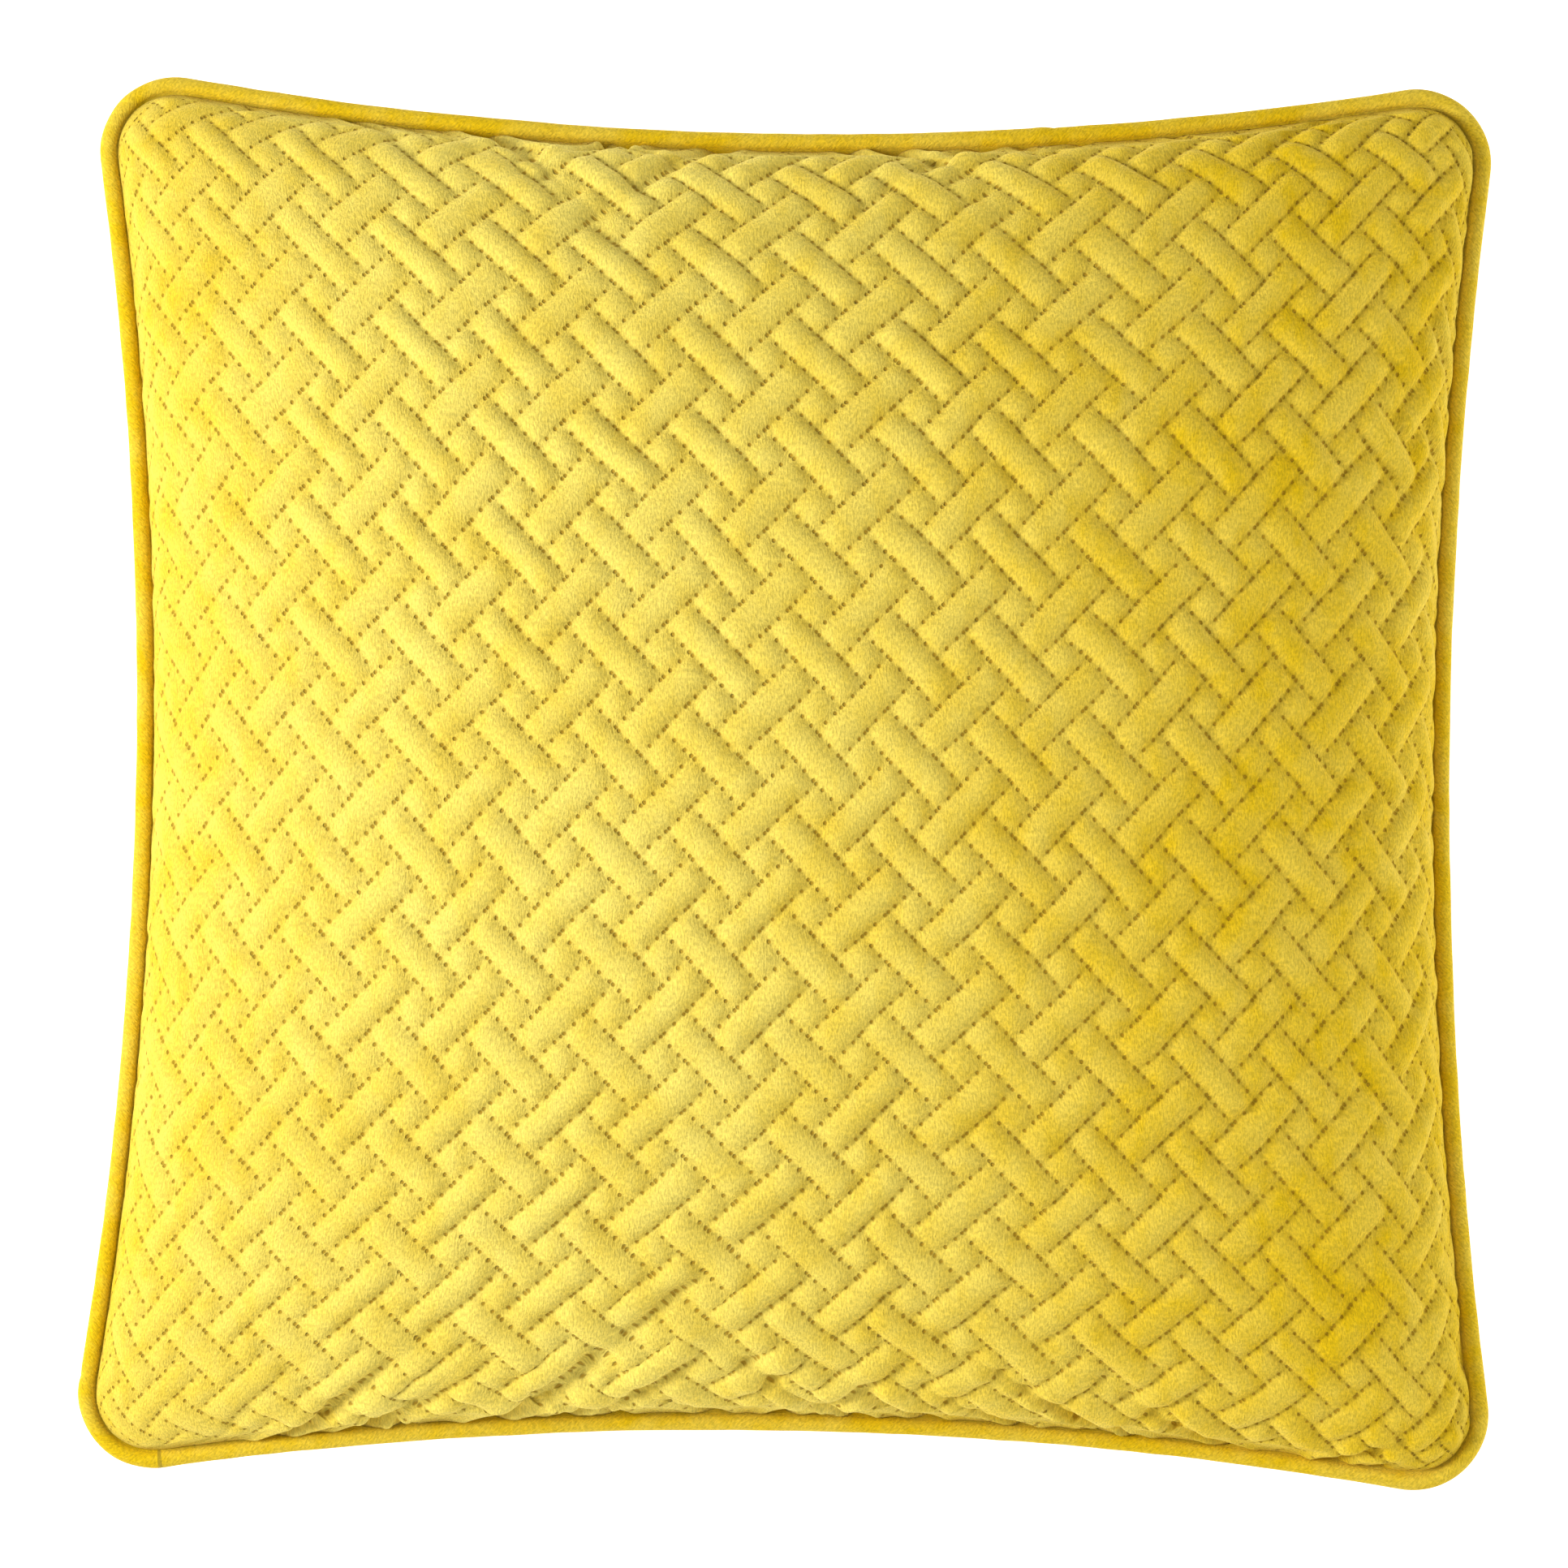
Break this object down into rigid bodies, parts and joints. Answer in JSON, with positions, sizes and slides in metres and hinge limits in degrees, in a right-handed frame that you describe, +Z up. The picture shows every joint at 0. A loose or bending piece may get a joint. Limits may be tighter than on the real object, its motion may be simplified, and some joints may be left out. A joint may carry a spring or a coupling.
{
  "type": "throw pillow",
  "caption": "Square velvet throw pillow with a basket-weave quilted front, plain back, piped edges, a zip in its bottom seam and a filled insert.",
  "frame": {"origin": "on the surface that the pillow lies on, under the middle of its outline", "axes": "+Z up, out of the quilted front; +X across the width towards the closed end of the zip; -Y towards the edge that holds the zip"},
  "size_m": [0.4495, 0.4493, 0.14],
  "materials": {
    "velvet": "matte",
    "wadding": "matte",
    "lining": "matte",
    "casing": "matte",
    "filling": "matte",
    "cotton_cord": "matte",
    "zip_tape": "matte",
    "zip_coil": "satin",
    "zip_metal": "satin",
    "label": "matte"
  },
  "bodies": {
    "pillow": {"front_velvet": "velvet", "back_velvet": "velvet", "piping_velvet": "velvet", "front_wadding": "wadding", "front_lining": "lining", "insert_casing_front": "casing", "insert_casing_back": "casing", "insert_filling": "filling", "piping_cord": "cotton_cord", "zip_tape_upper": "zip_tape", "zip_tape_lower": "zip_tape", "zip_coil_upper": "zip_coil", "zip_coil_lower": "zip_coil", "zip_top_stop_upper": "zip_metal", "zip_top_stop_lower": "zip_metal", "zip_bottom_stop": "zip_metal", "care_label": "label"},
    "slider": {"zip_slider": "zip_metal"},
    "pull": {"zip_pull": "zip_metal"}
  },
  "joints": [
    {"name": "zip_run", "type": "hinge", "parent": "pillow", "child": "slider", "pos_m": [-0.02315, -1.4952, 0.0525], "axis": [0, 0, 1], "range_deg": [0, 14.59]},
    {"name": "pull_swing", "type": "hinge", "parent": "slider", "child": "pull", "pos_m": [0.16356, -0.21474, 0.0525], "axis": [0, 0, 1], "range_deg": [0, 180]}
  ]
}
